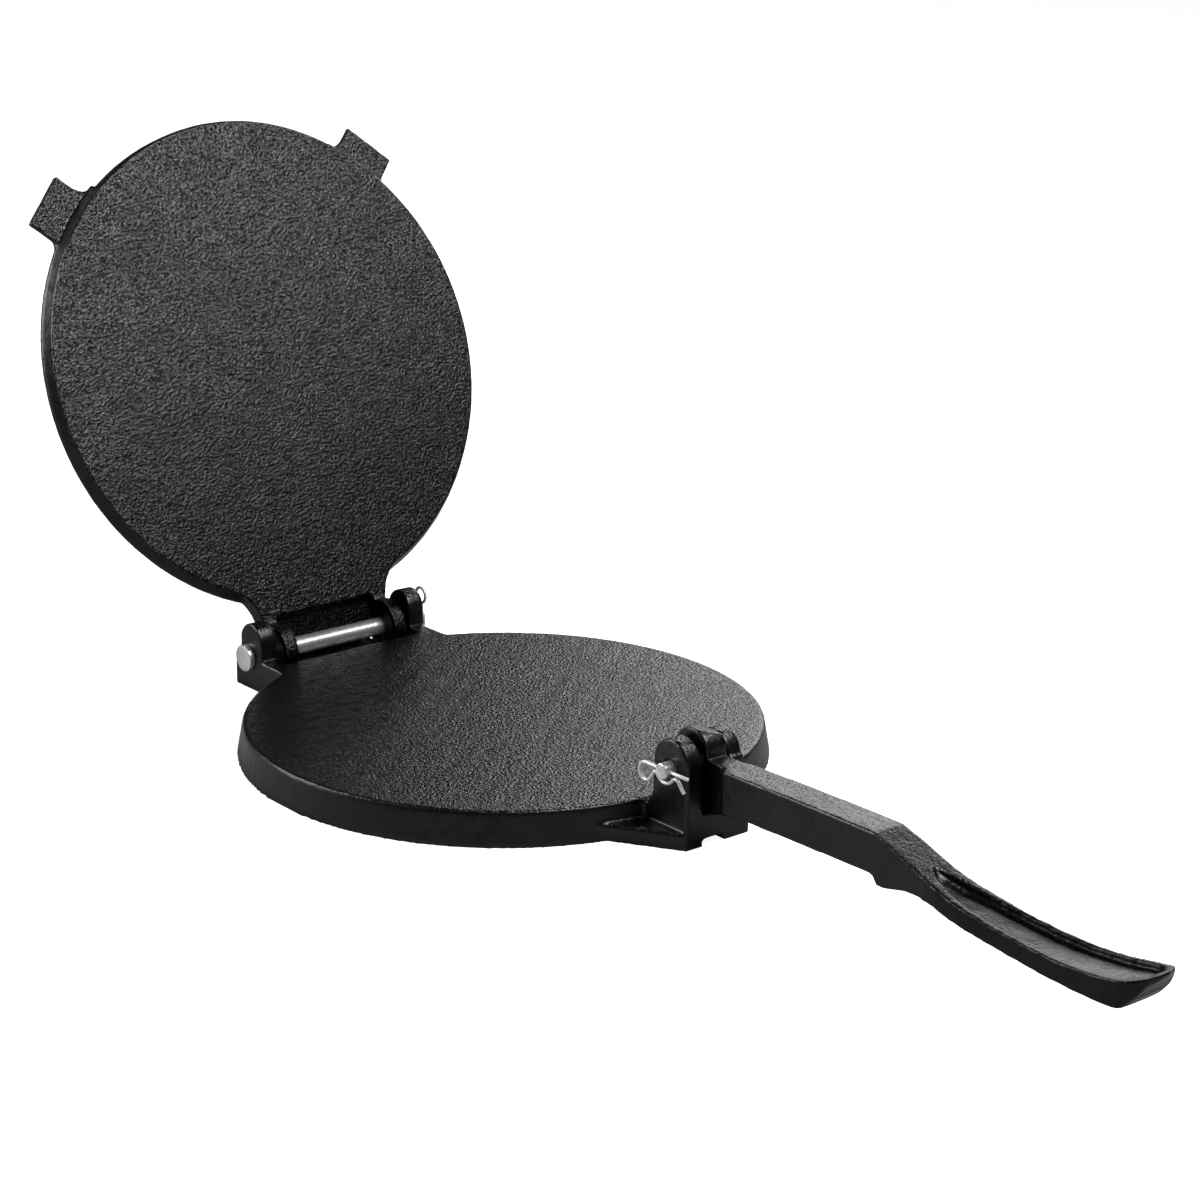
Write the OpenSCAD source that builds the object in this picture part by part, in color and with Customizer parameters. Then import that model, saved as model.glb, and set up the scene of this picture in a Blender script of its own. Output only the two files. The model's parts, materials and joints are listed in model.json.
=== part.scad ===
// Tortilla press: a round base plate with a hinged lid and a pressing lever, all cast iron, on two steel pins.
// Millimetres, +Z up, z = 0 on the table, origin under the middle of the base plate.
// The lever is at the front (-Y) and the lid's hinge at the back (+Y); both pins lie along X.
// Drawn as it stands open: the lid leans back on its stop and the lever lies forward on its heel.

/* [Base plate] */
// Radius of the round pressing face
base_r = 101.5; // [95:0.5:125]
// Height of the pressing face above the table
base_h = 13.4; // [13.4:0.2:18]
// How far the skirt spreads from the face down to the table
skirt_out = 2.2; // [0.5:0.1:3]
// Rounding of the face's edge
edge_r = 1.0; // [0.4:0.1:1.6]
// Thickness of the plate above the hollow underside
deck_t = 6.0; // [5:0.2:7]
// Thickness of the rim wall around the hollow underside
wall_t = 8.0; // [6:0.5:10]
// Thickness of the stiffening ribs underneath
rib_t = 4.0; // [3:0.5:6]
// Number of ribs between the ring and the rim
rib_n = 12; // [12:2:18]

/* [Hinge at the back] */
// Distance of the hinge pin behind the edge of the pressing face
hinge_reach = 16.3; // [16:0.1:18]
// Half width of the hinge block across its two ears
block_half = 41.2; // [41:0.2:44]
// Thickness of each hinge ear
ear_t = 7.9; // [6:0.1:8]
// Radius of the ears' round tops
ear_r = 7.6; // [7:0.1:8.5]
// Diameter of the hinge pin
hinge_pin_d = 7.5; // [6:0.1:7.6]
// Angle the lid opens from lying on the base
open_angle = 110.7; // [100:0.1:115]

/* [Fork at the front] */
// Distance of the lever pin in front of the edge of the pressing face
lever_reach = 13.1; // [13.1:0.1:15]
// Height of the lever pin above the pressing face
lever_rise = 15.6; // [15.4:0.1:17]
// Sideways position of the slot between the fork's ears
fork_x = -1.0; // [-3:0.1:1]
// Half width of the slot between the fork's ears
slot_half = 6.6; // [6.4:0.1:7.5]
// Thickness of the fork's left ear
fork_t = 7.5; // [5:0.1:8]
// Thickness of the fork's right ear
fork_far_t = 6.6; // [5:0.1:8]
// Radius of the round top of the fork's left ear
fork_r = 9.3; // [8.5:0.1:9.8]
// Diameter of the lever pin
lever_pin_d = 6.0; // [5:0.1:7]

/* [Lid] */
// How much smaller the lid's pressing face is than the base plate's, all round
lid_inset = 0.2; // [0:0.1:3]
// Thickness of the lid at its rim and neck
lid_t = 8.0; // [7.6:0.1:9]
// Thickness of the lid inside its rim
pan_t = 6.2; // [5:0.1:7]
// Width of each lifting tab
tab_w = 24.3; // [16:0.1:28]
// Reach of the left tab beyond the lid's pressing face
reach_left = 15.4; // [8:0.1:16]
// Reach of the right tab beyond the lid's pressing face
reach_right = 13.7; // [8:0.1:16]
// Angle of the left tab from straight forward
tab_left = 47.8; // [40:0.2:60]
// Angle of the right tab from straight forward
tab_right = 41.4; // [40:0.2:60]

/* [Lever] */
// Length of the lever from its pin to the tip of the handle
lever_l = 214.4; // [200:0.2:230]
// Half width of the lever's arm beside the fork
arm_half = 6.8; // [6.2:0.1:7.4]
// Depth of the hollow along the top of the handle
hollow_d = 2.5; // [1:0.1:3]

/* [Fits] */
// Gap all round between a pin and its bore
fit = 0.08; // [0.03:0.01:0.1]
// Gap left between the two pressing faces when the lid is shut
face_gap = 0.2; // [0.1:0.05:0.5]
// Diameter of the wire of the retaining clips
wire_d = 1.4; // [1:0.1:1.6]

/* [Hidden] */
$fn = 96;
eps = 0.01;
over = 1;                       // how far a cutter runs past the face it opens
iron = [0.13, 0.13, 0.135];
steel = [0.62, 0.62, 0.63];
stop_gap = 0.02;                // left between two faces that stop each other

// base plate
hinge_y = base_r + hinge_reach;
hinge_z = base_h;
lever_y = -(base_r + lever_reach);
lever_z = base_h + lever_rise;
skirt_r = base_r + skirt_out;
pocket_r = skirt_r - wall_t - skirt_out;
pocket_h = base_h - deck_t;
ring_r = pocket_r / 2 + rib_t / 4;
hub_r = 12;
rib_lift = 1.5;                 // the ribs end this far above the table

// hinge block
ear_in = block_half - ear_t;
ear_y = hinge_y - 2.4;
ear_z = hinge_z + 7.3;
ear_lean = -12;                 // where the back of an ear leaves its round top
back_y = hinge_y + 9.2;
tongue_half = 22.6;
tongue_drop = 5.0;
lip_drop = 2.8;
neck_fillet = 6;

// foot and fork
foot_h = 6.4;
foot_half = 15.2;
foot_spread = 0.63;             // sideways growth of the foot per millimetre backwards
foot_fillet = 10;
fork_z = base_h + 17.3;
fork_front = lever_y - fork_r;
far_r = fork_r - 0.7;
slot_z = base_h - 1.2;
rim_pass = 0.25;                // gap between the shut lid's rim and the back of the fork
notch = [9, 9, 2.6];
notch_x = -6;                   // from the middle of the slot
notch_lean = 2.2;
head_t = 2.3;
head_r = 5.5;
hinge_tail = 5.8;
lever_tail = 4.6;
hinge_clip_x = block_half + 3.4;
fork_left = fork_x - slot_half - fork_t;
fork_right = fork_x + slot_half + fork_far_t;
lever_clip_x = fork_left - 2.4;

// lid, measured from the hinge plane up while it lies shut
lid_r = base_r - lid_inset;
lid_x = 2.4;                    // the lid's disc sits off to the right of its neck
lid_y = -1.0;
neck_x = 1.0;
flare = 2.5;
flare_z = 4.5;
rim_in = lid_r - 7.3;
rim_cut = [1.6, 1.8];
lid_out = lid_r + flare;
lid_neck_half = 30.7;
lid_fillet = 20;
sunk = 0.2;                     // the hollow corners end this far inside the disc's edge
lug_in = 24;
lug_r = 11.2;
web_z = 4.5;
web_end = 2.0;
web_y = hinge_y - 13.6;
tab_z = 5;
tab_drop = 0.1;                 // the tabs' backs lie this far below the rim's
tab_root = 8;
trim = 0.6;                     // between the tabs the rim stands out no further than this
trim_turn = 10;                 // from the middle of each tab to where that begins, in degrees
tab_fillet = [10, 3];
boss = [24, 40, 2];              // across, along, into the rim
boss_front = rim_in - lid_y + boss[2];
spine = [12, 2.5];
spine_end = 98;

// lever outlines: forward of the pin along the arm, height above the pressing face
lever_k = lever_l / 214.4;
lever_x = fork_x - 0.8;
crown = [0.2, 20.4];
crown_r = 8.7;
crown_lean = 16;
crown_top = base_h + crown[1] + crown_r;
arm_top = [[7.8, 19], [16.7, 19], [56.8, 20], [95.3, 20.4]];
handle_top = [[104.2, 17.4], [116.8, 13], [120.4, 11.6], [128.7, 9.4], [136.3, 8.1], [150.8, 6.3],
    [165.2, 5.2], [179.5, 5], [190.4, 5.8], [197.9, 6.8], [205.5, 8.3], [211.2, 10.1]];
tip = [[214.4, 11.2], [214, 8.4]];
handle_low = [[212.4, 4.4], [210.2, 0.7], [206.4, -1.5], [202, -2.4], [193.4, -3], [184.7, -3], [175.4, -2.8],
    [165.7, -2.2], [156.3, -1.4], [146.6, -0.4], [136.7, 0.8], [129, 1.7], [122.6, 3.4], [116.6, 4.4],
    [109.6, 4.1], [99.5, 1.7], [96.9, 2.1], [95.3, 4.3], [93.2, 5.1]];
arm_low = [[33.3, 3.8], [21.2, 2.3]];
boss_top = 2 * lever_rise - arm_top[3][1];    // the arm comes down on it when the lever lies back over the lid
heel = [[11.4, slot_z - base_h + stop_gap], [3.4, slot_z - base_h + stop_gap]];
eye_back = [[-3.5, 4.5], [-7.6, 11.5], [-8.5, 20.4]];

// half widths along the lever: its eye and stem to the left and to the right of the arm's middle, then both alike
eye_left = 3.6;
eye_right = 6.1;
stem_end = 17.4;
shoulder = 2.6;
half_widths = [[stem_end + shoulder, arm_half], [95.4, arm_half + 0.4], [116.4, arm_half + 0.8], [128.4, 8.5],
    [136.4, 9.2], [150.4, 9.2], [165.4, 9.5], [179.4, 10.1], [190.4, 10.4], [197.4, 10.9], [204, 10.8],
    [208, 10], [210.8, 8.4], [212.6, 6.2], [213.8, 3.4], [214.3, 1]];
hollow = [[116.8, 0.6], [121, 2.8], [128, 4.6], [138, 6.2], [150, 6.9], [165, 7.3], [179, 7.9], [190, 8.2],
    [200, 8.4], [205.5, 7.8], [209, 5.6], [210.4, 2.6]];
entry = 8;                      // the hollow reaches its depth this far from its start

// retaining clips, in the plane of the wire: along the straight leg, and away from it
wire_r = wire_d / 2;
clip_ring_r = 3.3;
clip_leg = 12.3;                // reach of the straight leg past the pin's middle
clip_reach = 1.1;               // gap between the pin and the bowed leg's wire
waist = 58;                     // slope of the bowed leg where it comes up to the waist
waist_r = 1.2;
lift = 55;                      // slope at which it leaves the pin
toe_r = 2.2;
toe_drop = 50;                  // slope of the free end
toe_l = 4.5;
flat_t = 0.94 * wire_d;         // the bent part is flattened a little

// a flat outline in (y, z), run along X from x0 to x1
module along_x(x0, x1) translate([x0, 0, 0]) rotate([90, 0, 90]) linear_extrude(x1 - x0) children();

module rod_x(x0, x1, y, z, r) translate([x0, y, z]) rotate([0, 90, 0]) cylinder(h = x1 - x0, r = r);

// the hollow corner of radius rf between a disc of radius r and a straight side h off its middle line, along +X
module hollow_corner(r, h, rf) {
    far = sqrt(pow(r + rf, 2) - pow(h + rf, 2));
    difference() {
        polygon([[r - rf, h - over], [far, h - over], [far, h + rf], [far, h + rf] * r / (r + rf)]);
        translate([far, h + rf]) circle(rf);
    }
}

// ---- base plate ----

module base_disc() rotate_extrude() {
    polygon([[0, 0], [skirt_r, 0], [base_r, base_h - edge_r], [base_r - edge_r, base_h], [0, base_h]]);
    translate([base_r - edge_r, base_h - edge_r]) circle(edge_r, $fn = 24);
}

module hinge_block() {
    linear_extrude(base_h) {
        polygon([[-block_half, 0], [block_half, 0], [block_half, back_y], [-block_half, back_y]]);
        for (side = [0, 1]) mirror([side, 0]) rotate(90) mirror([0, 1]) hollow_corner(base_r, block_half, neck_fillet);
    }
    for (side = [0, 1]) mirror([side, 0, 0]) along_x(ear_in, block_half) {
        polygon([[ear_y - ear_r, 0], [ear_y - ear_r, ear_z], [ear_y, ear_z],
            [ear_y + ear_r * cos(ear_lean), ear_z + ear_r * sin(ear_lean)], [back_y, 0]]);
        translate([ear_y, ear_z]) circle(ear_r);
    }
}

// where the front of the lip lies so that the open lid's back meets it, at a height h from the hinge plane
function lip_y(h) = hinge_y + (lid_t + stop_gap - h * cos(open_angle)) / sin(open_angle);

module hinge_cuts() {
    translate([-ear_in, base_r, base_h - tongue_drop]) cube([2 * ear_in, hinge_reach * 2, base_h * 2]);
    for (side = [0, 1]) mirror([side, 0, 0])
        translate([tongue_half, base_r, -over]) cube([ear_in - tongue_half, hinge_reach * 2, base_h]);
    rod_x(-block_half - over, block_half + over, hinge_y, hinge_z, hinge_pin_d / 2 + fit);
}

module hinge_lip() along_x(-tongue_half, tongue_half)
    polygon([[lip_y(-tongue_drop), hinge_z - tongue_drop], [lip_y(-lip_drop), hinge_z - lip_drop],
        [back_y, hinge_z - lip_drop], [back_y, hinge_z - tongue_drop - over],
        [lip_y(-tongue_drop), hinge_z - tongue_drop - over]]);

module foot() {
    len = sqrt(1 + foot_spread * foot_spread);
    dir = [foot_spread, 1] / len;
    out = [1, -foot_spread] / len;
    rr = skirt_r - skirt_out * foot_h / base_h;
    start = [foot_half, fork_front] + foot_fillet * out;
    along = -(start * dir) - sqrt(pow(start * dir, 2) - start * start + pow(rr + foot_fillet, 2));
    mid = start + along * dir;
    on_side = mid - foot_fillet * out;
    linear_extrude(foot_h) for (side = [0, 1]) mirror([side, 0]) difference() {
        polygon([[-over, fork_front], [foot_half, fork_front], on_side, mid, mid * rr / (rr + foot_fillet), [0, -pocket_r]]);
        translate(mid) circle(foot_fillet);
    }
}

// side view of a fork ear with a round top of radius r; its back leans like the lid's rim
module fork_outline(r) {
    rim = lid_y - lid_out - rim_pass;
    polygon([[fork_front, 0], [fork_front, fork_z], [lever_y, fork_z + r / 2], [lever_y + r, fork_z],
        [rim, base_h + lid_t], [rim, base_h + flare_z], [rim + flare, base_h], [rim + flare, 0]]);
    intersection() {
        translate([lever_y + fork_r - r, fork_z]) circle(r);
        translate([fork_front, 0]) square([2 * fork_r, 2 * fork_z]);
    }
    polygon([[rim, base_h - over], [rim + flare, base_h - over], [-pocket_r, base_h - over], [-pocket_r, 0], [rim, 0]]);
}

module fork() {
    along_x(fork_left, fork_x) fork_outline(fork_r);
    along_x(fork_x - eps, fork_right) fork_outline(far_r);
}

module fork_cuts() {
    translate([fork_x - slot_half, fork_front - over, slot_z])
        cube([2 * slot_half, 2 * fork_r + over, 2 * fork_z]);
    translate([fork_x - slot_half, lever_y, base_h]) cube([2 * slot_half, base_r, 2 * fork_z]);
    rod_x(-2 * foot_half, 2 * foot_half, lever_y, lever_z, lever_pin_d / 2 + fit);
    translate([fork_x + notch_x, fork_front + notch[1], -over]) rotate([90, 0, 0]) linear_extrude(notch[1] + over)
        polygon([[0, 0], [notch[0] + notch_lean, 0], [notch[0], over + notch[2]], [0, over + notch[2]]]);
}

module underside() difference() {
    translate([0, 0, -over]) cylinder(h = pocket_h + over, r = pocket_r);
    translate([0, 0, rib_lift]) {
        difference() {
            cylinder(h = base_h, r = ring_r + rib_t / 2);
            translate([0, 0, -over]) cylinder(h = 2 * base_h, r = ring_r - rib_t / 2);
        }
        cylinder(h = base_h, r = hub_r);
        for (i = [0 : rib_n - 1]) rotate(i * 360 / rib_n) translate([ring_r, -rib_t / 2, 0]) cube([base_r, rib_t, base_h]);
        for (i = [0 : 2 : rib_n - 1]) rotate(i * 360 / rib_n) translate([0, -rib_t / 2, 0]) cube([ring_r, rib_t, base_h]);
    }
}

module base_plate() color(iron) {
    difference() {
        union() {
            base_disc();
            hinge_block();
            foot();
            fork();
        }
        hinge_cuts();
        fork_cuts();
        underside();
    }
    hinge_lip();
}

// ---- lid ----

module lid_disc() difference() {
    rotate_extrude() polygon([[0, face_gap], [lid_r, face_gap], [lid_out, flare_z],
        [lid_out, lid_t - rim_cut[1]], [lid_out - rim_cut[0], lid_t], [rim_in, lid_t], [rim_in, pan_t], [0, pan_t]]);
    translate([0, 0, -over]) linear_extrude(lid_t + 2 * over) difference() {
        polygon([[0, 0], 2 * lid_r * [-sin(tab_left - trim_turn), -cos(tab_left - trim_turn)],
            [0, -2 * lid_r], 2 * lid_r * [sin(tab_right - trim_turn), -cos(tab_right - trim_turn)]]);
        circle(lid_r + trim);
    }
}

module tab(angle, reach, side) translate([lid_x, lid_y, tab_z]) rotate(-90 - side * angle)
    mirror([0, side > 0 ? 0 : 1]) linear_extrude(lid_t - tab_z - tab_drop) {
        translate([lid_out - tab_root, -tab_w / 2]) square([tab_root + reach - flare, tab_w]);
        hollow_corner(lid_r + trim - sunk, tab_w / 2, tab_fillet[0]);
        mirror([0, 1]) hollow_corner(lid_out - sunk, tab_w / 2, tab_fillet[1]);
    }

module lid_neck() translate([0, 0, face_gap]) linear_extrude(lid_t - face_gap) {
    translate([neck_x - lid_neck_half, rim_in - tab_root])
        square([2 * lid_neck_half, hinge_y + web_end - rim_in + tab_root]);
    for (side = [-1, 1]) translate([lid_x, lid_y]) mirror([side > 0 ? 0 : 1, 0]) rotate(90) mirror([0, 1])
        hollow_corner(lid_r - sunk, lid_neck_half + side * (neck_x - lid_x), lid_fillet);
}

module lid_lugs() intersection() {
    translate([neck_x, 0, 0]) union() for (side = [0, 1]) mirror([side, 0, 0])
        rod_x(lug_in, lid_neck_half, hinge_y, 0, lug_r);
    translate([-block_half, 0, lid_t - 2 * hinge_y]) cube([2 * block_half, 2 * hinge_y, 2 * hinge_y]);
}

module lid_shut() difference() {
    union() {
        translate([lid_x, lid_y, 0]) lid_disc();
        lid_neck();
        lid_lugs();
        tab(tab_left, reach_left, 1);
        tab(tab_right, reach_right, -1);
        translate([lever_x - boss[0] / 2, -boss_front, pan_t - over]) cube([boss[0], boss[1], boss_top - pan_t + over]);
        translate([lever_x - spine[0] / 2, -boss_front, pan_t - over]) cube([spine[0], boss_front + spine_end, spine[1] + over]);
    }
    translate([neck_x - lug_in, web_y, -over]) cube([2 * lug_in, 2 * lug_r + lid_t, web_z + over]);
    rod_x(-block_half, block_half, hinge_y, 0, hinge_pin_d / 2 + fit);
}

module lid_plate() color(iron)
    translate([0, hinge_y, hinge_z]) rotate([-open_angle, 0, 0]) translate([0, -hinge_y, 0]) lid_shut();

// ---- lever ----

function forward(points, dz = 0) = [for (p = points) [lever_y - p[0] * (p[0] > 0 ? lever_k : 1), base_h + p[1] + dz]];

module lever_side() {
    polygon(forward(concat([[crown[0], crown[1]]], arm_top, handle_top, tip, handle_low, arm_low, heel, eye_back)));
    translate([lever_y - crown[0], base_h + crown[1]]) circle(crown_r);
}

// a plan of the lever from half widths to its left and to its right
module lever_plan(left, right) translate([lever_x, lever_y]) rotate(-90) polygon([for (p = concat(
    [for (s = right) [s[0], s[1]]], [for (i = [len(left) - 1 : -1 : 0]) [left[i][0], -left[i][1]]])) [p[0] * lever_k, p[1]]]);

module handle_hollow() intersection() {
    band = [for (p = handle_top) if (p[0] >= hollow[0][0]) [p[0], p[1] - hollow_d * min(1, 0.4 + (p[0] - hollow[0][0]) / entry)]];
    along_x(lever_x - foot_half, lever_x + foot_half)
        polygon(forward(concat(band, [[lever_l, 3 * base_h], [hollow[0][0], 3 * base_h]])));
    translate([0, 0, -base_h]) linear_extrude(4 * base_h) lever_plan(hollow, hollow);
}

module lever() color(iron) difference() {
    intersection() {
        along_x(lever_x - foot_half, lever_x + foot_half) lever_side();
        linear_extrude(4 * base_h) lever_plan(
            concat([[-crown_r - over, eye_left], [stem_end, eye_left]], half_widths),
            concat([[-crown_r - over, eye_right], [stem_end, eye_right]], half_widths));
    }
    handle_hollow();
    translate([lever_x - eye_left, lever_y - 2 * crown_r, crown_top]) rotate([0, crown_lean, 0])
        translate([-over, 0, 0]) cube([4 * eye_right, 4 * crown_r, crown_r]);
    rod_x(-2 * foot_half, 2 * foot_half, lever_y, lever_z, lever_pin_d / 2 + fit);
}

// ---- pins and clips ----

module hinge_pin() color(steel) difference() {
    union() {
        rod_x(-block_half - head_t, block_half + hinge_tail, hinge_y, hinge_z, hinge_pin_d / 2);
        rod_x(-block_half - head_t, -block_half, hinge_y, hinge_z, head_r);
    }
    translate([hinge_clip_x, hinge_y, 0]) cylinder(h = 2 * hinge_z, r = wire_r + fit, $fn = 32);
}

module lever_pin() color(steel) difference() {
    union() {
        rod_x(fork_left - lever_tail, fork_right + head_t, lever_y, lever_z, lever_pin_d / 2);
        rod_x(fork_right, fork_right + head_t, lever_y, lever_z, head_r);
    }
    translate([lever_clip_x, lever_y + lever_pin_d, lever_z]) rotate([90, 0, 0])
        cylinder(h = 2 * lever_pin_d, r = wire_r + fit, $fn = 32);
}

function arc(mid, r, from, turn, steps) = [for (i = [1 : steps]) mid + r * [cos(from + turn * i / steps), sin(from + turn * i / steps)]];

// the edge of a bent wire lying d to the left of its middle line
function edge(path, d) = [for (i = [0 : len(path) - 1])
    let (t = path[min(i + 1, len(path) - 1)] - path[max(i - 1, 0)]) path[i] + d * [-t[1], t[0]] / norm(t)];

// a retaining clip around a pin of radius r at the origin: straight leg along X, ring on the -X side
module clip(r) {
    bow = r + clip_reach + wire_r;
    side = 90 - waist;
    waist_start = [-bow * cos(side) - 2 * waist_r * sin(waist), -bow * sin(side)];
    rise = waist_start[1] + clip_ring_r * (1 + sin(side));
    ring_x = waist_start[0] - rise / tan(waist) - clip_ring_r * cos(side);
    toe = (bow + toe_r) * [sin(lift), -cos(lift)];
    toe_end = toe + toe_r * [sin(toe_drop), cos(toe_drop)];
    path = concat([[ring_x + wire_d, 0], [ring_x, 0]],
        arc([ring_x, -clip_ring_r], clip_ring_r, 90, 180 + waist, 16), [waist_start],
        arc(waist_start + waist_r * [sin(waist), -cos(waist)], waist_r, 90 + waist, -2 * waist, 6),
        arc([0, 0], bow, side - 180, 90 + lift - side, 8), arc(toe, toe_r, 90 + lift, -lift - toe_drop, 6),
        [toe_end + toe_l * [cos(toe_drop), -sin(toe_drop)]]);
    left = edge(path, flat_t / 2);
    right = edge(path, -flat_t / 2);
    translate([0, 0, -flat_t / 2]) linear_extrude(flat_t)
        polygon(concat(left, [for (i = [len(right) - 1 : -1 : 0]) right[i]]));
    translate([ring_x + wire_r / 2, 0, 0]) rotate([0, 90, 0]) cylinder(h = clip_leg - ring_x - wire_r / 2, r = wire_r, $fn = 24);
}

module hinge_clip() color(steel)
    translate([hinge_clip_x, hinge_y, hinge_z]) rotate([-90, 0, 0]) rotate([90, 0, 90]) clip(hinge_pin_d / 2);

module lever_clip() color(steel)
    translate([lever_clip_x, lever_y, lever_z]) mirror([0, 1, 0]) rotate([90, 0, 90]) clip(lever_pin_d / 2);

base_plate();
lid_plate();
lever();
hinge_pin();
lever_pin();
hinge_clip();
lever_clip();
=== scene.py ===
"""Looks of a cast-iron tortilla press, built as an add-on around its packed construction.

Each operator in the sidebar makes one group of pieces; main() calls them in order and sets the stage.
"""

import json
import math

import bmesh
import bpy
import numpy as np
from bpy.props import FloatProperty, FloatVectorProperty, IntProperty, PointerProperty
from mathutils import Matrix, Vector


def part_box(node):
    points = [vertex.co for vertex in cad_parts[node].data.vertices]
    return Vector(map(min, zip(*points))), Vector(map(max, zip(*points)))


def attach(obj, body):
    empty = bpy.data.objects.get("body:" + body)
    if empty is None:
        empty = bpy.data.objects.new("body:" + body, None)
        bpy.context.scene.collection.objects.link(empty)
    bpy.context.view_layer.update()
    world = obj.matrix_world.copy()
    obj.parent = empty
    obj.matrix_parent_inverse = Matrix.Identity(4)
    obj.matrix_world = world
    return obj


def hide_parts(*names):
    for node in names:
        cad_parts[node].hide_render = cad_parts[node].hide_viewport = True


bl_info = {
    "name": "Tortilla press",
    "version": (1, 0, 0),
    "blender": (4, 5, 0),
    "location": "3D View > Sidebar > Press",
    "description": "Builds the looks of a cast-iron tortilla press around its construction",
    "category": "Object",
}

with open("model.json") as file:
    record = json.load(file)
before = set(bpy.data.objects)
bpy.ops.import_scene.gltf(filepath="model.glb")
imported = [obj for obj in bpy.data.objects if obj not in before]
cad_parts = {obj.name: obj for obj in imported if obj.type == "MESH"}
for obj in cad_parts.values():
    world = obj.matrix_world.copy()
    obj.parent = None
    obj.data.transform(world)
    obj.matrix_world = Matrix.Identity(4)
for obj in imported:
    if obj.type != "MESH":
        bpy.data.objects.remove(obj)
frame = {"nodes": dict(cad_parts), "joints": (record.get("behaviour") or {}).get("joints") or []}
JOINTS = {joint["name"]: joint for joint in frame["joints"]}
MM = 0.001
# radii of the two pins, in millimetres
HINGE_PIN_R = 3.75
LEVER_PIN_R = 3.0
WHITE = (1.0, 1.0, 1.0, 1.0)


# ---- numbers that can be changed in the sidebar ----


class CastProps(bpy.types.PropertyGroup):
    """How the three castings are finished."""

    plate_cell: FloatProperty(
        name="Plate detail", description="Size of the plates' mesh cells", default=0.00072, unit="LENGTH"
    )
    lever_cell: FloatProperty(
        name="Lever detail", description="Size of the lever's mesh cells", default=0.0005, unit="LENGTH"
    )
    plate_rounding: IntProperty(
        name="Plate rounding", description="Smoothing passes that round the plates' edges", default=4, min=0
    )
    lever_rounding: IntProperty(
        name="Lever rounding", description="Smoothing passes that round the lever's edges", default=12, min=0
    )
    waviness: FloatProperty(
        name="Waviness", description="Depth of the castings' uneven surface", default=0.00008, unit="LENGTH"
    )


class WireProps(bpy.types.PropertyGroup):
    """The two retaining clips and the pins' ends."""

    wire: FloatProperty(
        name="Wire", description="Diameter of the clips' wire", default=0.00136, unit="LENGTH"
    )
    chamfer: FloatProperty(
        name="Pin chamfer", description="Bevel on the ends of both pins", default=0.0004, unit="LENGTH"
    )


class StageProps(bpy.types.PropertyGroup):
    """Camera, lights and floor."""

    distance: FloatProperty(
        name="Camera distance", description="From the pressing face's middle", default=1.1165, unit="LENGTH"
    )
    azimuth: FloatProperty(
        name="Azimuth",
        description="Camera's turn to the right, less than 0 for the left",
        default=math.radians(-40.19),
        subtype="ANGLE",
    )
    elevation: FloatProperty(
        name="Elevation",
        description="Camera's height above the horizon",
        default=math.radians(17.822),
        subtype="ANGLE",
    )
    roll: FloatProperty(
        name="Roll", description="Camera's roll", default=math.radians(0.715), subtype="ANGLE"
    )
    shift: FloatVectorProperty(
        name="Shift",
        description="Camera's move to the right and up",
        size=2,
        default=(0.03725, 0.04425),
        unit="LENGTH",
    )
    lens: FloatProperty(
        name="Lens", description="Focal length in millimetres on a 36 mm sensor", default=86.06, min=1.0
    )
    shade: FloatProperty(
        name="Shadow", description="How dark the shadow on the sheet gets", default=0.08, min=0.0, max=1.0
    )
    room: FloatProperty(name="Room light", description="Light from all around", default=0.05, min=0.0)


# ---- shader graphs ----


class Value:
    """A socket of a shader graph; arithmetic on it adds Math nodes."""

    def __init__(self, graph, socket):
        self.graph = graph
        self.socket = socket

    def _math(self, operation, first, second):
        return self.graph.add("ShaderNodeMath", {"operation": operation}, {0: first, 1: second})

    def __add__(self, other):
        return self._math("ADD", self, other)

    def __radd__(self, other):
        return self._math("ADD", other, self)

    def __sub__(self, other):
        return self._math("SUBTRACT", self, other)

    def __rsub__(self, other):
        return self._math("SUBTRACT", other, self)

    def __mul__(self, other):
        return self._math("MULTIPLY", self, other)

    def __rmul__(self, other):
        return self._math("MULTIPLY", other, self)

    def between(self, low, high):
        """0 below low, 1 above high, smooth in between."""
        settings = {"interpolation_type": "SMOOTHSTEP"}
        inputs = {"Value": self, "From Min": low, "From Max": high}
        return self.graph.add("ShaderNodeMapRange", settings, inputs)


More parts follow.
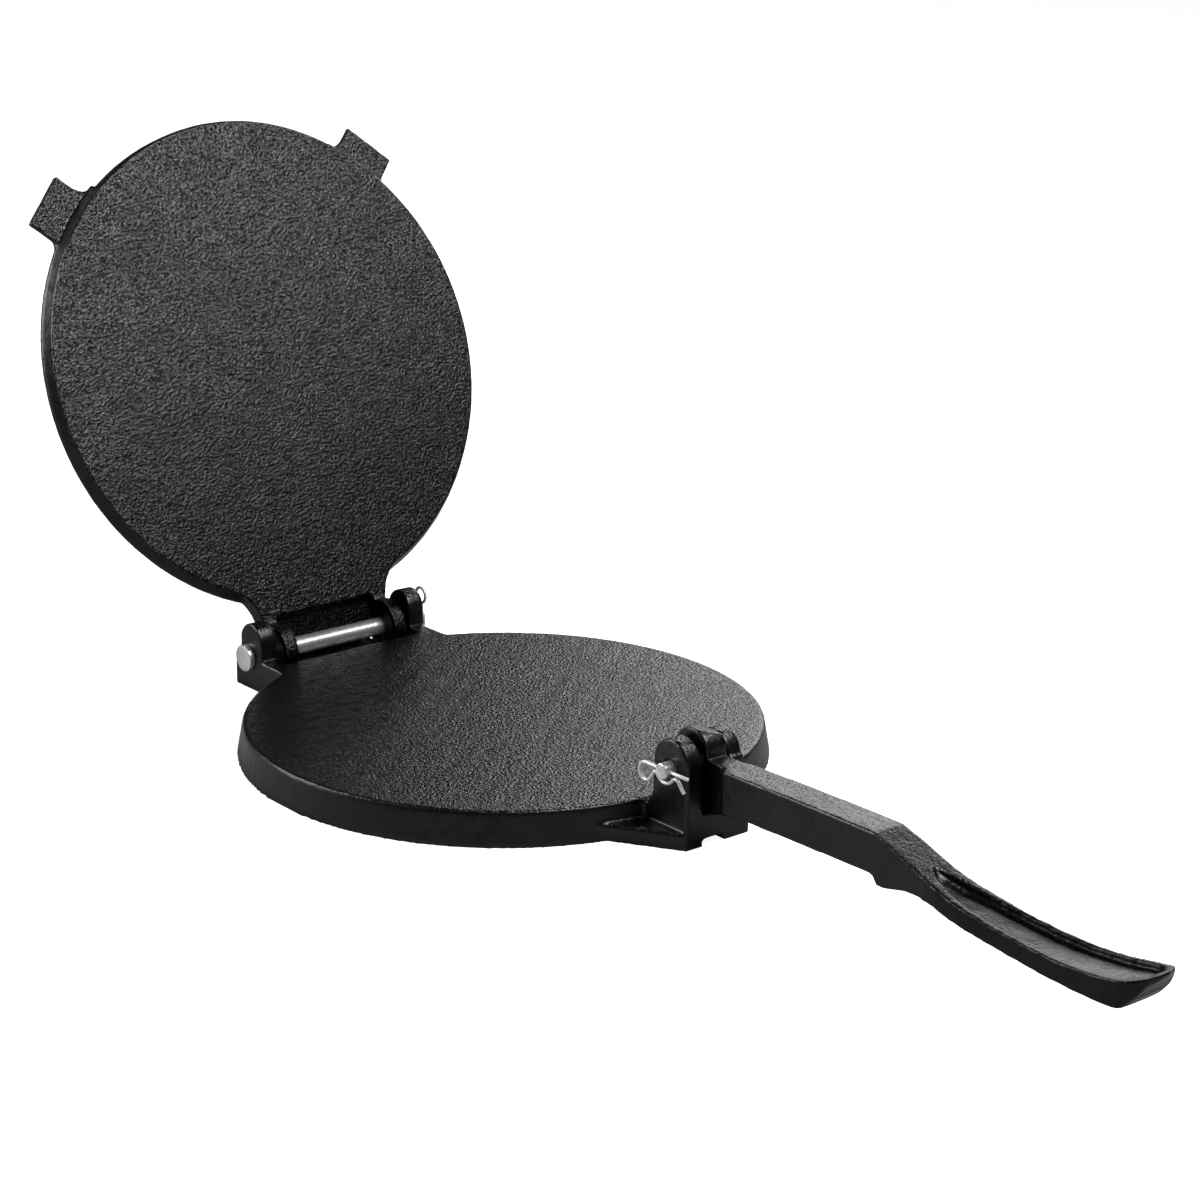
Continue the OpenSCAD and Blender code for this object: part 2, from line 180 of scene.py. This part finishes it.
class Graph:
    """The nodes of a material or of the world."""

    def __init__(self, owner):
        self.owner = owner
        owner.use_nodes = True
        self.tree = owner.node_tree
        self.tree.nodes.clear()

    def add(self, kind, settings=None, inputs=None, out=0):
        """Adds a node of a type: first its settings, then its inputs; out picks the output to go on with."""
        node = self.tree.nodes.new(kind)
        for key, value in (settings or {}).items():
            setattr(node, key, value)
        for key, value in (inputs or {}).items():
            if isinstance(value, Value):
                self.tree.links.new(value.socket, node.inputs[key])
            else:
                node.inputs[key].default_value = value
        return Value(self, node.outputs[out]) if node.outputs else None

    def place(self):
        """The point of the piece, in its own metres."""
        return self.add("ShaderNodeTexCoord", out="Object")

    def mix(self, factor, a, b):
        """Mix of two colours, by the node's colour sockets."""
        return self.add("ShaderNodeMix", {"data_type": "RGBA"}, {0: factor, 6: a, 7: b}, out=2)

    def scaled(self, vector, by):
        return self.add("ShaderNodeVectorMath", {"operation": "MULTIPLY"}, {0: vector, 1: by})

    def noise(self, where, scale, detail=3.0, roughness=0.6):
        inputs = {"Vector": where, "Scale": scale, "Detail": detail, "Roughness": roughness}
        return self.add("ShaderNodeTexNoise", None, inputs)

    def cells(self, where, scale, smoothness):
        inputs = {"Vector": where, "Scale": scale, "Smoothness": smoothness}
        return self.add("ShaderNodeTexVoronoi", {"feature": "SMOOTH_F1"}, inputs)

    def painted(self, name):
        """A value painted on the mesh's vertices."""
        return self.add("ShaderNodeAttribute", {"attribute_name": name}, out="Fac")

    def bump(self, height, strength, distance):
        inputs = {"Height": height, "Strength": strength, "Distance": distance}
        return self.add("ShaderNodeBump", None, inputs)

    def metal(self, colour, roughness, bump, metallic):
        """Ends the graph with a metal's surface and gives its material."""
        shader = self.add("ShaderNodeBsdfPrincipled", None, {
            "Base Color": colour,
            "Roughness": roughness,
            "Metallic": metallic,
            "Normal": bump,
        })
        self.add("ShaderNodeOutputMaterial", None, {"Surface": shader})
        return self.owner


def new_graph(name):
    """The empty graph of a new material."""
    return Graph(bpy.data.materials.new(name))


def grey(level, warm=0.0):
    """A grey, or one with a little more red and less blue."""
    return (level * (1.0 + warm), level, level * (1.0 - warm), 1.0)


def iron_material(relief, dents, pebbling=1.0):
    """Seasoned cast iron: pebbled where the sand was packed flat, smoother on the drafted sides.

    relief is the strength of its bumps, dents the share of the wider ones and pebbling that of the pebbles.
    """
    # the valley and pit colours are painted shade; the last colour is that of the painted shade and the
    # grip's darkening
    valley_shade_colour = grey(0.012, 0.02)
    crest_colour = grey(0.115, 0.02)
    mottle_and_pit_shade_colour = grey(0.02, 0.03)
    shade_and_darkening_colour = grey(0.003)
    plain_crest = 0.35
    g = new_graph("seasoned_iron")
    place = g.place()
    # painted shade in the lid's hinge recess and towards its neck, and the lever's darker grip, read from
    # the mesh
    shade_and_darkening = g.painted("shade_and_darkening")
    pebble = g.painted("pebble") * (1.0 - shade_and_darkening * 0.5) * pebbling
    broad = g.noise(place, 55.0, roughness=0.55)
    drift = g.noise(place, 260.0, detail=2.0, roughness=0.5)
    grain = g.noise(place, 880.0, detail=2.5, roughness=0.55)
    unpitted = g.cells(place, 150.0, smoothness=0.1).between(0.03, 0.14)
    height = grain * (pebble * 1.5 + 0.25) + drift * dents + unpitted * 0.03
    bump = g.bump(height, relief, 0.0008)
    mottle = (broad * 0.6 + drift * 0.4).between(0.36, 0.66)
    # painted shade: the grain's valleys are coloured darker than its crests, standing in for shade in the
    # hollows
    crest = grain.between(0.30, 0.68) * pebble + (1.0 - pebble) * plain_crest
    valley_shaded_tone = g.mix(crest, valley_shade_colour, crest_colour)
    # painted shade in the pits, mixed with a random mottle of the iron's tone
    mottled_and_pit_shaded = g.mix(mottle * 0.25 + (1.0 - unpitted) * 0.6, valley_shaded_tone, mottle_and_pit_shade_colour)
    # mixes the painted shade and the grip's darkening in, towards near black
    colour = g.mix(shade_and_darkening * 0.85, mottled_and_pit_shaded, shade_and_darkening_colour)
    rough = 0.30 - pebble * 0.09 + mottle * 0.05
    return g.metal(colour, rough, bump, metallic=1.0)


def steel_material():
    """Turned steel rod with fine marks round its axis and a little dulling."""
    bright = grey(0.84)
    dulled = grey(0.62, 0.02)
    drawn_round_axis = (1.0, 0.06, 0.06)
    drawn_along_axis = (0.25, 1.0, 1.0)
    g = new_graph("turned_steel")
    place = g.place()
    marks = g.noise(g.scaled(place, drawn_round_axis), 5200.0)
    dull = g.noise(place, 170.0).between(0.42, 0.68)
    scuffs = g.noise(g.scaled(place, drawn_along_axis), 1400.0, roughness=0.7).between(0.56, 0.72)
    bump = g.bump(marks + scuffs * 0.5, 0.22, 0.00005)
    rough = 0.22 + dull * 0.14 + marks * 0.08
    return g.metal(g.mix(dull, bright, dulled), rough, bump, metallic=0.8)


def zinc_material():
    """Bright zinc plate on bent wire, slightly cloudy."""
    bright = grey(0.95)
    clouded = (0.82, 0.84, 0.87, 1.0)
    g = new_graph("zinc_wire")
    place = g.place()
    cloud = g.noise(place, 420.0).between(0.35, 0.7)
    grain = g.noise(place, 3000.0)
    bump = g.bump(grain, 0.15, 0.00004)
    rough = 0.24 + cloud * 0.14 + grain * 0.05
    return g.metal(g.mix(cloud, bright, clouded), rough, bump, metallic=0.3)


def paper_material(shade):
    """A white sheet: white to the camera, softly shaded under the press, and dimmer in reflections."""
    g = new_graph("white_sheet")
    seen = g.add("ShaderNodeBsdfPrincipled", None, {
        "Base Color": grey(0.9),
        "Roughness": 0.9,
        "Specular IOR Level": 0.0,
        "Emission Color": WHITE,
        "Emission Strength": 1.0 - shade,
    })
    mirrored = g.add("ShaderNodeBsdfPrincipled", None, {
        "Base Color": grey(0.42),
        "Roughness": 0.9,
        "Specular IOR Level": 0.0,
    })
    from_camera = g.add("ShaderNodeLightPath", out="Is Camera Ray")
    sheet = g.add("ShaderNodeMixShader", None, {0: from_camera, 1: mirrored, 2: seen})
    g.add("ShaderNodeOutputMaterial", None, {"Surface": sheet})
    return g.owner


# ---- meshes ----


def new_object(name, data):
    obj = bpy.data.objects.new(name, data)
    bpy.context.scene.collection.objects.link(obj)
    return obj


def evaluated(obj, name):
    """A plain mesh of obj with its modifiers applied; obj itself goes away."""
    bpy.context.view_layer.update()
    graph = bpy.context.evaluated_depsgraph_get()
    mesh = bpy.data.meshes.new_from_object(obj.evaluated_get(graph))
    old = obj.data
    bpy.data.objects.remove(obj)
    bpy.data.meshes.remove(old)
    mesh.name = name
    return mesh


def per_vertex(mesh, name):
    """What every vertex has under that name, "co" or "normal", in rows of three."""
    found = np.empty(len(mesh.vertices) * 3, np.float32)
    mesh.vertices.foreach_get(name, found)
    return found.reshape(-1, 3).astype(np.float64)


def set_points(mesh, points):
    mesh.vertices.foreach_set("co", points.astype(np.float32).ravel())
    mesh.update()


def smoothstep(x, low, high):
    """0 below low, 1 above high, smooth in between."""
    t = np.clip((x - low) / (high - low), 0.0, 1.0)
    return t * t * (3.0 - 2.0 * t)


def waves(points, length, seed):
    """Slow, even unevenness, mostly between -1 and 1, with about the given wave length."""
    count = 7
    rng = np.random.default_rng(seed)
    total = np.zeros(len(points))
    for _ in range(count):
        way = rng.normal(size=3)
        way *= 2.0 * math.pi / (length * rng.uniform(0.7, 1.6)) / np.linalg.norm(way)
        total += np.sin(points @ way + rng.uniform(0.0, 2.0 * math.pi))
    return total / (0.5 * count)


def paint(mesh, name, values):
    """Keeps one value for every vertex, for a material to read."""
    layer = mesh.attributes.new(name, "FLOAT", "POINT")
    layer.data.foreach_set("value", values.astype(np.float32))


def recast(node, name, cell, passes, waviness, seed, to_mould=None, shape=None, shade_and_darkening_at=None):
    """A casting with soft edges made from a CAD node, worked on in the place it had in its mould.

    shape moves its points and the last function tells how dark each one is painted (painted shade on the
    lid, a darker grip on the lever); faces that lie flat in the mould get pebbles.
    """
    wave_length = 0.007
    steep, flat = 0.55, 0.92
    mesh = frame["nodes"][node].data.copy()
    to_mould = to_mould or Matrix.Identity(4)
    mesh.transform(to_mould)
    obj = new_object(name + "_raw", mesh)
    fuse = obj.modifiers.new("fuse", "REMESH")
    fuse.mode = "VOXEL"
    fuse.voxel_size = cell
    soften = obj.modifiers.new("soften", "SMOOTH")
    soften.factor = 0.5
    soften.iterations = passes
    mesh = evaluated(obj, name)
    points = per_vertex(mesh, "co")
    if shape is not None:
        points = shape(points)
    dips = (waves(points, wave_length, seed)[:, None] - 1.0) * waviness * 0.5
    points += per_vertex(mesh, "normal") * dips
    set_points(mesh, points)
    facing = per_vertex(mesh, "normal")
    paint(mesh, "pebble", smoothstep(np.abs(facing[:, 2]), steep, flat))
    # the painted shade and darkening of each point, 0 where none is given
    paint(mesh, "shade_and_darkening", shade_and_darkening_at(points, facing) if shade_and_darkening_at else np.zeros(len(points)))
    mesh.transform(to_mould.inverted())
    mesh.shade_smooth()
    return new_object(name, mesh)


def finish_piece(obj, material, node, body):
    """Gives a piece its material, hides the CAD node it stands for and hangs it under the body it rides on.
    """
    obj.data.materials.clear()
    obj.data.materials.append(material)
    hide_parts(node)
    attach(obj, body)


def round_turn(steps):
    """Evenly spread angles of one full turn."""
    return [2.0 * math.pi * k / steps for k in range(steps)]


def skinned(name, rings):
    """A closed skin over rings of points that all have the same count."""
    work = bmesh.new()
    rings = [[work.verts.new(point) for point in ring] for ring in rings]
    for low, high in zip(rings, rings[1:]):
        for k in range(len(low)):
            after = (k + 1) % len(low)
            work.faces.new((low[k], high[k], high[after], low[after]))
    work.faces.new(rings[0])
    work.faces.new(list(reversed(rings[-1])))
    bmesh.ops.recalc_face_normals(work, faces=work.faces[:])
    mesh = bpy.data.meshes.new(name)
    work.to_mesh(mesh)
    work.free()
    mesh.shade_smooth()
    return new_object(name, mesh)


def turned(name, profile, axis_y, axis_z):
    """A turned piece along X from a profile of (x, radius), closed at both ends."""
    angles = round_turn(64)
    rings = [[(x, axis_y + r * math.cos(a), axis_z + r * math.sin(a)) for a in angles] for x, r in profile]
    obj = skinned(name, rings)
    obj.data.set_sharp_from_angle(angle=math.radians(22.0))
    return obj


def swept(name, path, radius):
    """A round wire along a path in a plane of constant x, with rounded ends."""
    tip_reach = radius * 0.45
    tip_size = 0.55
    across = Vector((1.0, 0.0, 0.0))
    points = [Vector(p) for p in path]
    first = (points[1] - points[0]).normalized()
    last = (points[-1] - points[-2]).normalized()
    stations = [(points[0] - first * tip_reach, first, tip_size)]
    for before, point, after in zip(points[:1] + points, points, points[1:] + points[-1:]):
        stations.append((point, (after - before).normalized(), 1.0))
    stations.append((points[-1] + last * tip_reach, last, tip_size))
    angles = round_turn(16)
    rings = []
    for point, way, size in stations:
        side = across.cross(way).normalized()
        rings.append([point + radius * size * (math.cos(a) * across + math.sin(a) * side) for a in angles])
    return skinned(name, rings)


def arc(middle, r, start, turn, steps):
    """Points on an arc after its start, which is left out; both angles are in degrees."""
    angles = [math.radians(start + turn * i / steps) for i in range(1, steps + 1)]
    return [(middle[0] + r * math.cos(a), middle[1] + r * math.sin(a)) for a in angles]


def clip_path(pin_r):
    """Middle line of a retaining clip in millimetres: along its straight leg, and away from it.

    It runs along the leg and round the ring, through the waist, over the bow on the pin and out at the toe.
    """
    bow_r = pin_r + 1.8
    ring_r, waist_r, toe_r = 3.3, 1.2, 2.2
    waist, lift, drop = 58.0, 55.0, 50.0
    toe_length = 4.2
    leg = [12.0, 6.0, 0.0, -6.0]
    waist_sin, waist_cos = math.sin(math.radians(waist)), math.cos(math.radians(waist))
    lift_sin, lift_cos = math.sin(math.radians(lift)), math.cos(math.radians(lift))
    drop_sin, drop_cos = math.sin(math.radians(drop)), math.cos(math.radians(drop))
    waist_at = (-bow_r * waist_sin - 2.0 * waist_r * waist_sin, -bow_r * waist_cos)
    waist_middle = (waist_at[0] + waist_r * waist_sin, waist_at[1] - waist_r * waist_cos)
    rise = waist_at[1] + ring_r * (1.0 + waist_cos)
    ring_x = waist_at[0] - rise / math.tan(math.radians(waist)) - ring_r * waist_sin
    toe_middle = ((bow_r + toe_r) * lift_sin, -(bow_r + toe_r) * lift_cos)
    toe_end = (toe_middle[0] + toe_r * drop_sin, toe_middle[1] + toe_r * drop_cos)
    return (
        [(x, 0.0) for x in (*leg, ring_x)]
        + arc((ring_x, -ring_r), ring_r, 90.0, 180.0 + waist, 36)
        + [waist_at]
        + arc(waist_middle, waist_r, 90.0 + waist, -2.0 * waist, 12)
        + arc((0.0, 0.0), bow_r, -90.0 - waist, waist + lift, 18)
        + arc(toe_middle, toe_r, 90.0 + lift, -lift - drop, 12)
        + [(toe_end[0] + toe_length * drop_cos, toe_end[1] - toe_length * drop_sin)]
    )


def pin_profile(start, end, head_r, radius, bevel):
    """(x, radius) along a pin whose flat head is at the start, with soft edges."""
    head_length = 0.0023
    under_head = start + head_length
    return [
        (start, head_r - bevel),
        (start + bevel * 0.3, head_r - bevel * 0.25),
        (start + bevel, head_r),
        (under_head - bevel * 0.5, head_r),
        (under_head, head_r - bevel * 0.5),
        (under_head, radius),
        (end - bevel, radius),
        (end - bevel * 0.35, radius - bevel * 0.3),
        (end, radius - bevel),
    ]


# ---- operators ----


class PRESS_OT_base(bpy.types.Operator):
    """Cast the base plate with its hinge ears and its fork"""

    bl_idname = "press.base"
    bl_label = "Base plate"

    def execute(self, context):
        cast = context.scene.press_cast
        obj = recast(
            "base_plate", "base_casting", cast.plate_cell, cast.plate_rounding, cast.waviness, seed=3,
        )
        finish_piece(obj, iron_material(0.36, 0.3), "base_plate", "base")
        return {"FINISHED"}


class PRESS_OT_lid(bpy.types.Operator):
    """Cast the lid with its lifting tabs and hinge lugs"""

    bl_idname = "press.lid"
    bl_label = "Lid"

    def execute(self, context):
        cast = context.scene.press_cast
        joint = JOINTS["lid_hinge"]
        at = Matrix.Translation(Vector(joint["pos_m"]))
        shut = math.radians(joint["range_deg"][1])
        to_mould = at @ Matrix.Rotation(shut, 4, Vector(joint["axis"])) @ at.inverted()
        neck_x = 0.001
        recess_half = 0.0245
        recess_depth = 0.0136
        side_fade = 0.001
        edge_before, edge_behind = 0.0002, 0.0004
        # painted shade: how far from the pin the darkening of the face begins, and how dark it paints the
        # neck
        shade_from, neck_shade = 0.19, 0.5
        level = 0.2

        def towards_the_pin(points, facing):
            """Painted shade: the face is painted darker towards the neck, and the recess beside the pin is
            painted black where its shade falls.
            """
            from_pin = points[:, 1] - joint["pos_m"][1]
            inward = smoothstep(from_pin, -recess_depth - edge_before, -recess_depth + edge_behind)
            across = 1.0 - smoothstep(np.abs(points[:, 0] - neck_x), recess_half, recess_half + side_fade)
            neck = neck_shade * smoothstep(from_pin, -shade_from, -recess_depth)
            return np.maximum(inward * across, neck) * smoothstep(-facing[:, 2], -level, level)

        obj = recast(
            "lid_plate", "lid_casting", cast.plate_cell, cast.plate_rounding, cast.waviness, seed=5,
            to_mould=to_mould, shade_and_darkening_at=towards_the_pin,
        )
        finish_piece(obj, iron_material(0.62, 0.3), "lid_plate", "lid")
        return {"FINISHED"}


class PRESS_OT_lever(bpy.types.Operator):
    """Cast the lever and round its handle for the hand"""

    bl_idname = "press.lever"
    bl_label = "Lever"

    def execute(self, context):
        cast = context.scene.press_cast
        low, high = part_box("lever")
        middle = 0.5 * (low.x + high.x)
        grip_half = 0.5 * (high.x - low.x)
        grip_from = low.y + 0.087
        grip_to = low.y + 0.098
        # how much darker the grip is painted than the arm
        grip_darkening = 0.55
        slice_length = 0.002
        round_height = 0.003
        sole_width = 0.88
        end_length = 0.012
        end_height = 0.009
        end_pull = 0.0055

        def on_grip(points):
            """0 on the arm and 1 on the grip."""
            return smoothstep(-points[:, 1], -grip_to, -grip_from)

        def darker_grip(points, facing):
            """The grip is painted darker than the arm."""
            return grip_darkening * on_grip(points)

        def round_under(points):
            """Draws the grip's lower corners in to a round underside, and the underside of its end back."""
            part = np.floor((points[:, 1] - low.y) / slice_length).astype(int)
            sole = np.full(part.max() + 1, np.inf)
            np.minimum.at(sole, part, points[:, 2])
            centres = low.y + (np.arange(len(sole)) + 0.5) * slice_length
            height = points[:, 2] - np.interp(points[:, 1], centres, sole)
            rise = np.clip(height / round_height, 0.0, 1.0)
            width = sole_width + (1.0 - sole_width) * np.sqrt(1.0 - (1.0 - rise) ** 2)
            width = 1.0 + (width - 1.0) * on_grip(points)
            points[:, 0] = middle + (points[:, 0] - middle) * width
            end = 1.0 - smoothstep(points[:, 1] - low.y, 0.0, end_length)
            deep = 1.0 - np.clip(height / end_height, 0.0, 1.0)
            aside = np.abs(points[:, 0] - middle) / grip_half
            points[:, 1] += end_pull * end * (1.0 - np.sqrt(1.0 - deep ** 2) + 0.5 * deep * aside ** 4)
            return points

        obj = recast(
            "lever", "lever_casting", cast.lever_cell, cast.lever_rounding, cast.waviness, seed=7,
            shape=round_under, shade_and_darkening_at=darker_grip,
        )
        finish_piece(obj, iron_material(0.5, 0.8, pebbling=0.3), "lever", "lever")
        return {"FINISHED"}


class PRESS_OT_pins(bpy.types.Operator):
    """Turn the hinge pin and the lever pin, each with a flat head"""

    bl_idname = "press.pins"
    bl_label = "Pins"

    def execute(self, context):
        bevel = context.scene.press_wire.chamfer
        steel = steel_material()
        for node, joint, pin_r, head_first in (
            ("hinge_pin", "lid_hinge", HINGE_PIN_R, True),
            ("lever_pin", "lever_hinge", LEVER_PIN_R, False),
        ):
            low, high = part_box(node)
            head_r = 0.5 * (high.z - low.z)
            profile = pin_profile(low.x, high.x, head_r, pin_r * MM, bevel)
            if not head_first:
                profile = [(low.x + high.x - x, r) for x, r in reversed(profile)]
            at = JOINTS[joint]["pos_m"]
            obj = turned(node + "_steel", profile, at[1], at[2])
            finish_piece(obj, steel, node, "base")
        return {"FINISHED"}


class PRESS_OT_clips(bpy.types.Operator):
    """Bend the two wire clips that hold the pins"""

    bl_idname = "press.clips"
    bl_label = "Clips"

    def execute(self, context):
        radius = 0.5 * context.scene.press_wire.wire
        zinc = zinc_material()
        # ways as (y, z)
        down, back, up, ahead = (0.0, -1.0), (1.0, 0.0), (0.0, 1.0), (-1.0, 0.0)
        for node, joint, pin_r, leg, away in (
            ("hinge_clip", "lid_hinge", HINGE_PIN_R, down, back),
            ("lever_clip", "lever_hinge", LEVER_PIN_R, ahead, up),
        ):
            low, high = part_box(node)
            x = 0.5 * (low.x + high.x)
            at = JOINTS[joint]["pos_m"]
            path = [
                (x, at[1] + (u * leg[0] + v * away[0]) * MM, at[2] + (u * leg[1] + v * away[1]) * MM)
                for u, v in clip_path(pin_r)
            ]
            obj = swept(node + "_wire", path, radius)
            finish_piece(obj, zinc, node, "base")
        return {"FINISHED"}


def set_camera(scene, stage):
    """A camera on a line from the middle of the pressing face, moved aside by the shift."""
    turn, height, roll = stage.azimuth, stage.elevation, stage.roll
    back = Vector((math.sin(turn) * math.cos(height), -math.cos(turn) * math.cos(height), math.sin(height)))
    level = Vector((math.cos(turn), math.sin(turn), 0.0))
    upright = back.cross(level)
    right = math.cos(roll) * level + math.sin(roll) * upright
    up = -math.sin(roll) * level + math.cos(roll) * upright
    camera = new_object("camera", bpy.data.cameras.new("camera"))
    camera.data.lens = stage.lens
    camera.data.sensor_width = 36.0
    camera.data.clip_end = 30.0
    face = Vector((0.0, 0.0, JOINTS["lid_hinge"]["pos_m"][2]))
    place = face + back * stage.distance + right * stage.shift[0] + up * stage.shift[1]
    camera.matrix_world = Matrix.Translation(place) @ Matrix((right, up, back)).transposed().to_4x4()
    scene.camera = camera


def lay_sheet(shade):
    work = bmesh.new()
    bmesh.ops.create_grid(work, x_segments=2, y_segments=2, size=20.0)
    mesh = bpy.data.meshes.new("sheet")
    work.to_mesh(mesh)
    work.free()
    floor = new_object("sheet", mesh)
    floor.data.materials.append(paper_material(shade))


def area_light(name, place, target, size, power):
    lamp = bpy.data.lights.new(name, "AREA")
    lamp.shape = "RECTANGLE"
    lamp.size, lamp.size_y = size
    lamp.energy = power
    obj = new_object(name, lamp)
    obj.location = place
    obj.rotation_euler = (Vector(target) - Vector(place)).to_track_quat("-Z", "Y").to_euler()


def light_room(scene, strength):
    """White to the camera, and a dim room to the press."""
    world = bpy.data.worlds.new("studio")
    g = Graph(world)
    room = g.add("ShaderNodeBackground", None, {"Color": WHITE, "Strength": strength})
    white = g.add("ShaderNodeBackground", None, {"Color": WHITE, "Strength": 1.0})
    from_camera = g.add("ShaderNodeLightPath", out="Is Camera Ray")
    either = g.add("ShaderNodeMixShader", None, {0: from_camera, 1: room, 2: white})
    g.add("ShaderNodeOutputWorld", None, {"Surface": either})
    scene.world = world


class PRESS_OT_stage(bpy.types.Operator):
    """Set the camera, the lights and the white sheet"""

    bl_idname = "press.stage"
    bl_label = "Stage"

    def execute(self, context):
        scene = context.scene
        stage = scene.press_stage
        set_camera(scene, stage)
        lay_sheet(stage.shade)
        middle, lid_face = (0.0, 0.0, 0.06), (0.0, 0.17, 0.2)
        left_behind, lid_rim = (-0.45, 0.6, 0.0), (-0.05, 0.1, 0.15)
        area_light("front", (0.24, -0.56, 0.92), lid_face, (0.8, 0.45), 10.0)
        area_light("back", (1.41, 0.74, 0.74), middle, (1.15, 0.85), 10.5)
        area_light("left", (-0.95, 0.95, 0.5), left_behind, (0.7, 0.7), 12.0)
        area_light("high", (-0.6, 0.8, 0.95), lid_rim, (0.6, 0.6), 1.6)
        light_room(scene, stage.room)
        scene.view_settings.view_transform = "Standard"
        return {"FINISHED"}


class PRESS_PT_panel(bpy.types.Panel):
    """Every step and its numbers"""

    bl_idname = "PRESS_PT_panel"
    bl_label = "Tortilla press"
    bl_space_type = "VIEW_3D"
    bl_region_type = "UI"
    bl_category = "Press"

    def draw(self, context):
        scene = context.scene
        for group, steps in (
            (scene.press_cast, (PRESS_OT_base, PRESS_OT_lid, PRESS_OT_lever)),
            (scene.press_wire, (PRESS_OT_pins, PRESS_OT_clips)),
            (scene.press_stage, (PRESS_OT_stage,)),
        ):
            box = self.layout.box()
            for key in group.bl_rna.properties.keys():
                if key not in ("rna_type", "name"):
                    box.prop(group, key)
            for step in steps:
                box.operator(step.bl_idname)


GROUPS = {"press_cast": CastProps, "press_wire": WireProps, "press_stage": StageProps}
STEPS = (PRESS_OT_base, PRESS_OT_lid, PRESS_OT_lever, PRESS_OT_pins, PRESS_OT_clips, PRESS_OT_stage)


def register():
    for kind in (*GROUPS.values(), *STEPS, PRESS_PT_panel):
        bpy.utils.register_class(kind)
    for name, kind in GROUPS.items():
        setattr(bpy.types.Scene, name, PointerProperty(type=kind))


def unregister():
    for name in GROUPS:
        delattr(bpy.types.Scene, name)
    for kind in reversed((*GROUPS.values(), *STEPS, PRESS_PT_panel)):
        bpy.utils.unregister_class(kind)


def main():
    register()
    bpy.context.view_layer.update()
    bpy.ops.press.base()
    bpy.ops.press.lid()
    bpy.ops.press.lever()
    bpy.ops.press.pins()
    bpy.ops.press.clips()
    bpy.ops.press.stage()


if __name__ == "__main__":
    main()
